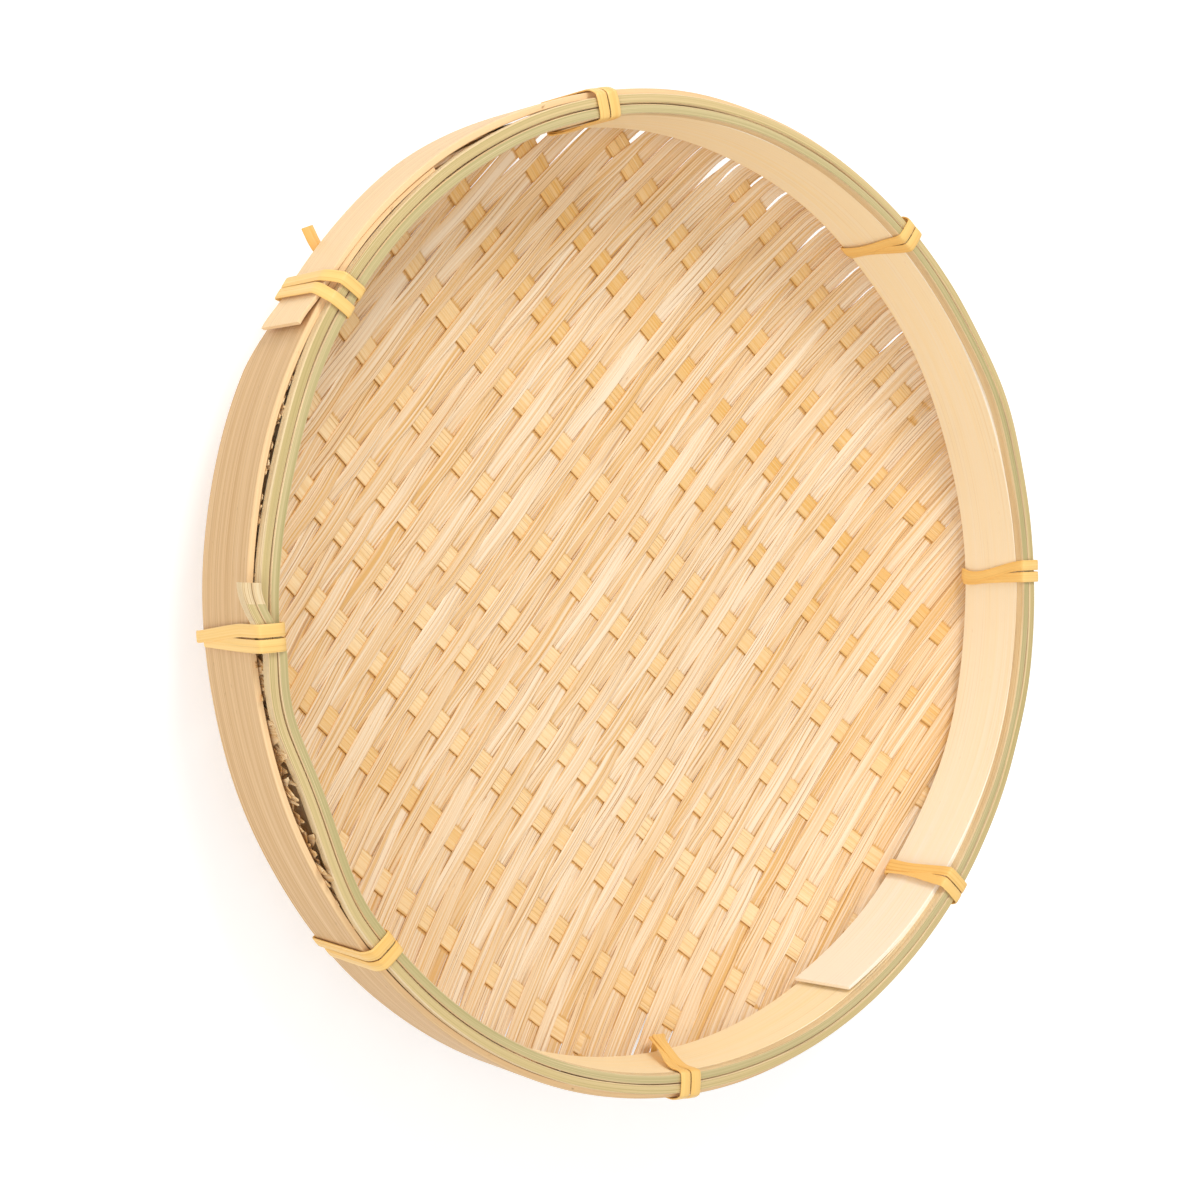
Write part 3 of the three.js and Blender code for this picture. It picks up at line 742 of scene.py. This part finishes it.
torn_finish = bamboo_material(
    "torn_bamboo",
    [(0.94, 0.74, 0.46), (0.62, 0.36, 0.13), split_brown],
    fibres=0.4, bands=0.4, splits=0.6, specks=0.2, rough=0.55, bump=0.8,
)
torn = []
for gap in torn_gaps:
    for _ in range(gap["count"]):
        angle = np.radians(rng.uniform(*gap["angles"]))
        radius = rng.uniform(*gap["radii"])
        tip = rng.uniform(*gap["tips"])
        lean = rng.normal(torn_lean, lean_spread) * np.ptp(gap["radii"]) / 2
        width = rng.uniform(*torn_widths)
        torn.append(sliver(angle, radius, torn_bottom, tip, width, lean))
torn_ends = put_mesh("torn_ends", torn)
torn_ends.data.materials.append(torn_finish)

# Ties: thin yellow splints wound twice round the rim. Both turns draw together into a hole in
# the mat under the inner hoop; the tie on the outer lap keeps a loose end.
tie_width = 3.5
tie_thickness = 0.5
tie_gap = 0.45
tie_off = tie_gap + tie_thickness / 2
turn_place = 2.0
turn_layer = 0.55
hole_place = 0.4
under_gap = 0.9
hole_radius, hole_height = inner_face + 1.0, inner_bottom - under_gap
back_radius = outer_face - hoop_thickness - 0.3
splint_top = hoop_top + splint_gap + splint_height
splint_outside = outer_cane + splint_width
tail_place = 15.5
tail_tuck = 4.0
tail_inset = 5.0


def turn_inside(inside, layer, near, wide, drift, reach):
    """Corner points of a turn's way up the inside: out of the hole, flat on the inner hoop or on the
    turn before it, and spreading to its own place. A corner point lies in the half plane of the tie's
    angle, and holds a radius, a height, a place sideways, a width, a thickness and a heading."""
    face = inside - layer
    low_top = splint_top + tie_off
    return [
        [hole_radius - reach, hole_height, near, 2.6, 0.6, 0],
        [face + 0.2 - reach, hole_height + 0.2, near + 0.2 * wide, 4.2, tie_thickness, 0],
        [face - 0.9 * reach, hole_height + 4, near - 0.2 * drift, 4.0, tie_thickness, 0],
        [face - 0.6 * reach, hole_height + 11, 0.25 * wide + 0.5 * drift, 3.2, tie_thickness, 0],
        [inside, low_top - 7, 0.85 * wide, 3.2, tie_thickness, 0],
    ]


def turn_over(inside, outside, raised, outward, wide, held):
    """Corner points of a turn's way over the splints and onto the outer hoop's face."""
    low_top = splint_top + tie_off
    top = low_top + raised
    over = max(splint_outside + 0.6 * raised, outer_face - 1.2)
    return [
        [inside, low_top - 1.0, held, tie_width, tie_thickness, 0],
        [inside + 1.0 + raised / 6, top, held, tie_width, tie_thickness, 0],
        [over - 0.6, top, held, tie_width, tie_thickness, 0],
        [over + 0.6, top - 0.6, held, tie_width, tie_thickness, 0],
        [outside, hoop_top + 0.6 - outward + raised / 2, wide, tie_width, tie_thickness, 0],
        [outside, hoop_top - 3 - outward, wide, tie_width, tie_thickness, 0],
    ]


def turn_under(outside, low, wide, lean):
    """Corner points of a turn's way down the outer hoop's face and in under its edge."""
    clear = outside + 0.25 * lean
    place = 0.9 * wide + lean
    return [
        [clear, low + 2, place, 3.4, tie_thickness, 0],
        [clear, low, place, 3.3, tie_thickness, 0],
        [clear - 1, low, place, 3.2, tie_thickness, 0],
    ]


def tail_points(last):
    """Corner points of the loose end: a half turn in the level under the hoop, drawn narrow, then out
    and down."""
    x, y, place = last[:3]
    reach = (tail_place + place) / 2
    points = []
    for turned in np.radians([45, 90, 135]):
        aside = place - reach * (1 - np.cos(turned))
        inward = tail_tuck * np.sin(turned) + tail_inset * turned / np.pi
        points.append([x - inward, y, aside, 2.0, 0.8, turned])
    points.append([x - tail_inset, y, -tail_place, 3.2, tie_thickness, np.pi])
    points.append([x - 1.5, y - 1.0, -tail_place - 1.2, 3.4, tie_thickness, np.pi])
    points.append([x + 2.6, y - 2.8, -tail_place - 4.5, 3.4, tie_thickness, np.pi])
    return points


def tie_path(
    raised=0.0, outward=0.0, inward=0.0, drift=0.0, reach=0.0, aside=0.0, apart=0.0, lean=0.0, foot=0.0,
    tail=False,
):
    """Corner points of a tie, from the hole up the inside, over the rim and down the outside, twice.
    The second turn lies on the first one near the hole. A tie may be raised over the rim, stand out
    or in from the hoops, drift sideways or reach inwards to its hole, lie aside, hold its turns apart
    on the splints, lean its first turn over its second, or turn under a hoop that is higher there."""
    inside = inner_face - inward - tie_off
    outside = outer_face + outward + tie_off
    low = outer_bottom + foot - under_gap
    last_side = -1 if tail else 1
    points = []
    for side in (-last_side, last_side):
        wide = side * turn_place + aside
        near = side * hole_place + drift
        is_last = side == last_side
        if is_last:
            points.append([back_radius, low, near, 2.0, 0.8, 0])
        points += turn_inside(inside, turn_layer if is_last else 0.0, near, wide, drift, reach)
        points += turn_over(inside, outside, raised, outward, wide, wide + side * apart)
        if tail or not is_last:
            points += turn_under(outside, low, wide, lean)
    if tail:
        points += tail_points(points[-1])
    else:
        points.append([outside, low + tie_width, 0.8 * wide, 3.4, tie_thickness, 0])
    return np.array(points, float)


def rounded(points, times=3):
    """Cuts the corners of a row of points: each cut puts two points on every stretch, at a
    quarter and at three quarters of it, and keeps the ends."""
    for _ in range(times):
        near = 0.75 * points[:-1] + 0.25 * points[1:]
        far = 0.25 * points[:-1] + 0.75 * points[1:]
        middle = np.stack([near, far], 1).reshape(-1, points.shape[1])
        points = np.concatenate([points[:1], middle, points[-1:]])
    return points


tie_share = np.array([-1, -0.85, 0, 0.85, 1, 1, 0.9, -0.9, -1]) / 2
tie_rise = np.array([0.2, 0.45, 0.55, 0.45, 0.2, -0.25, -0.5, -0.5, -0.25])


def tie_surface(points, angle):
    """Surface of a tie: a thin rounded outline carried along its path, square to it and with its
    flat side to the rim, then turned to its place round the tray."""
    x, up, sideways, width, thickness, heading = rounded(points).T
    path = np.stack([x, sideways, up], -1)
    run = np.gradient(path, axis=0)
    run /= np.linalg.norm(run, axis=1, keepdims=True)
    flat = np.stack([-np.sin(heading), np.cos(heading), 0 * heading], -1)
    face = np.cross(run, flat)
    face /= np.linalg.norm(face, axis=1, keepdims=True)
    flat = np.cross(face, run)
    place = tie_share[None, :] * width[:, None]
    grid = path[:, None] + flat[:, None] * place[..., None]
    grid = grid + face[:, None] * (tie_rise[None, :] * thickness[:, None])[..., None]
    turn = np.array([[np.cos(angle), np.sin(angle), 0], [-np.sin(angle), np.cos(angle), 0], [0, 0, 1]])
    steps = np.linalg.norm(np.diff(path, axis=0), axis=1)
    return grid @ turn, place, np.concatenate([[0.0], np.cumsum(steps)])


def seam_angle(degrees):
    """Moves a tie to the seam between two pale strips, where these meet the rim rather squarely."""
    turn = strip_direction - np.radians(degrees)
    if abs(np.cos(turn)) < np.sqrt(0.5):
        return np.radians(degrees)
    seam = np.round(bend_end * np.sin(turn) / pale_pitch) * pale_pitch
    slant = np.arcsin(seam / bend_end)
    return strip_direction - (slant if np.cos(turn) > 0 else np.pi - slant)


tie_finish = bamboo_material(
    "yellow_tie_splint",
    [(0.97, 0.65, 0.23), (0.86, 0.47, 0.11), (0.55, 0.26, 0.03)],
    fibres=0.3, bands=0.3, splits=0.3, specks=0.0, rough=0.32, bump=0.3,
)
tie_angles = [1, 54, 104, 146, 183, 220.5, 268, 318]
tie_changes = {
    1: {"drift": 1.5, "aside": 4.0},
    146: {"outward": 0.75 * lap_step, "apart": 1.0, "foot": 4.4, "tail": True},
    183: {"raised": splint_height + 2 * splint_gap, "outward": 0.4, "lean": 2.4},
    268: {"drift": 11.0, "reach": 4.5, "aside": 2.5},
    318: {"inward": lap_step},
}
tie_tones = 0.08
# Painted shade on the loose end of a tie: how far back from its tip it reaches, and over how long it fades
# in.
shaded_tail_length, shaded_tail_ease = 14.0, 10.0
for number, degrees in enumerate(tie_angles, start=1):
    changes = tie_changes.get(degrees, {})
    grid, place, length = tie_surface(tie_path(**changes), seam_angle(degrees))
    tone = rng.normal(0, tie_tones) + 0 * length
    # Each tie has a random tone; the loose end darkens towards its tip with painted shade.
    if "tail" in changes:
        shade_start = length[-1] - shaded_tail_length
        tone = tone + smooth(length, shade_start - shaded_tail_ease, shade_start)
    piece = put_mesh(f"tie_wrap_{number:02d}", [(grid, place, length, tone[:, None])])
    piece.data.materials.append(tie_finish)
    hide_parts(f"tie_{number:02d}")

# The floor: a plain white sheet that the tray rests on with its middle. It takes the tray's soft
# shadow, and glows a little for the rays that show it, so that it stays white to the eye.
floor_reach = 6.0
floor_corners = [(-1, -1, 0), (1, -1, 0), (1, 1, 0), (-1, 1, 0)]
floor_white = (0.86, 0.86, 0.86, 1)
floor_roughness = 0.9
floor_glow = 0.35
pure_white = (1, 1, 1, 1)


def seen_rays(nodes, links):
    """1 for the rays that show a surface: straight to the camera, in a reflection or through glass."""
    path = nodes.new("ShaderNodeLightPath")
    seen = path.outputs["Is Camera Ray"]
    for kind in ["Is Glossy Ray", "Is Transmission Ray"]:
        either = nodes.new("ShaderNodeMath")
        either.operation = "MAXIMUM"
        links.new(seen, either.inputs[0])
        links.new(path.outputs[kind], either.inputs[1])
        seen = either.outputs[0]
    return seen


floor_mesh = bpy.data.meshes.new("floor_sheet")
floor_mesh.from_pydata((floor_reach * np.array(floor_corners)).tolist(), [], [(0, 1, 2, 3)])
floor = bpy.data.objects.new("floor_sheet", floor_mesh)
bpy.context.scene.collection.objects.link(floor)
floor_finish = bpy.data.materials.new("white_floor")
floor_finish.use_nodes = True
floor_nodes, floor_links = floor_finish.node_tree.nodes, floor_finish.node_tree.links
floor_shader = floor_nodes["Principled BSDF"]
floor_shader.inputs["Base Color"].default_value = floor_white
floor_shader.inputs["Roughness"].default_value = floor_roughness
floor_shader.inputs["Emission Color"].default_value = pure_white
glow = floor_nodes.new("ShaderNodeMath")
glow.operation = "MULTIPLY"
glow.inputs[1].default_value = floor_glow
floor_links.new(seen_rays(floor_nodes, floor_links), glow.inputs[0])
floor_links.new(glow.outputs[0], floor_shader.inputs["Emission Strength"])
floor_mesh.materials.append(floor_finish)

# Light: a bright white room, with one soft lamp above the tray's far side and a weaker, larger one
# beside the camera. The room is pure white where it shows, and lights the tray with less.
room_light, room_white = 0.6, 1.0
tray_middle = Vector((0, 0, 0.03))
world = bpy.data.worlds.new("white_room")
bpy.context.scene.world = world
world.use_nodes = True
world_nodes, world_links = world.node_tree.nodes, world.node_tree.links
room = world_nodes["Background"]
room.inputs["Color"].default_value = pure_white
room_mix = world_nodes.new("ShaderNodeMix")
room_mix.inputs["A"].default_value = room_light
room_mix.inputs["B"].default_value = room_white
world_links.new(seen_rays(world_nodes, world_links), room_mix.inputs["Factor"])
world_links.new(room_mix.outputs["Result"], room.inputs["Strength"])


def soft_lamp(name, place, size, power):
    """A square lamp at a place in metres, facing the middle of the tray."""
    lamp = bpy.data.lights.new(name, "AREA")
    lamp.size = size
    lamp.energy = power
    holder = bpy.data.objects.new(name, lamp)
    bpy.context.scene.collection.objects.link(holder)
    holder.location = place
    holder.rotation_euler = (tray_middle - Vector(place)).to_track_quat("-Z", "Y").to_euler()


soft_lamp("key_lamp", (-0.1, 1.1, 1.15), size=0.55, power=11)
soft_lamp("fill_lamp", (-1.05, -0.45, 1.05), size=1.2, power=8.5)

# Camera: above the left side of the tray, turned so that the tray's far side is up in the picture.
# Its focal length is given in pixels of a picture of this width.
picture_width = 1200
focal_pixels = 2081.46
film_width = 36.0
camera_place = Vector((-0.39721, 0.01870, 0.53316))
forward = Vector((0.5973, -0.0311, -0.8014)).normalized()
right = Vector((0.8018, 0.0, 0.5976))
right = (right - forward * right.dot(forward)).normalized()
up = right.cross(forward)
turn = Matrix((right, up, -forward)).transposed()
camera = bpy.data.cameras.new("camera")
camera.sensor_width = film_width
camera.lens = film_width * focal_pixels / picture_width
holder = bpy.data.objects.new("camera", camera)
bpy.context.scene.collection.objects.link(holder)
holder.matrix_world = Matrix.Translation(camera_place) @ turn.to_4x4()
bpy.context.scene.camera = holder
bpy.context.scene.view_settings.view_transform = "Standard"
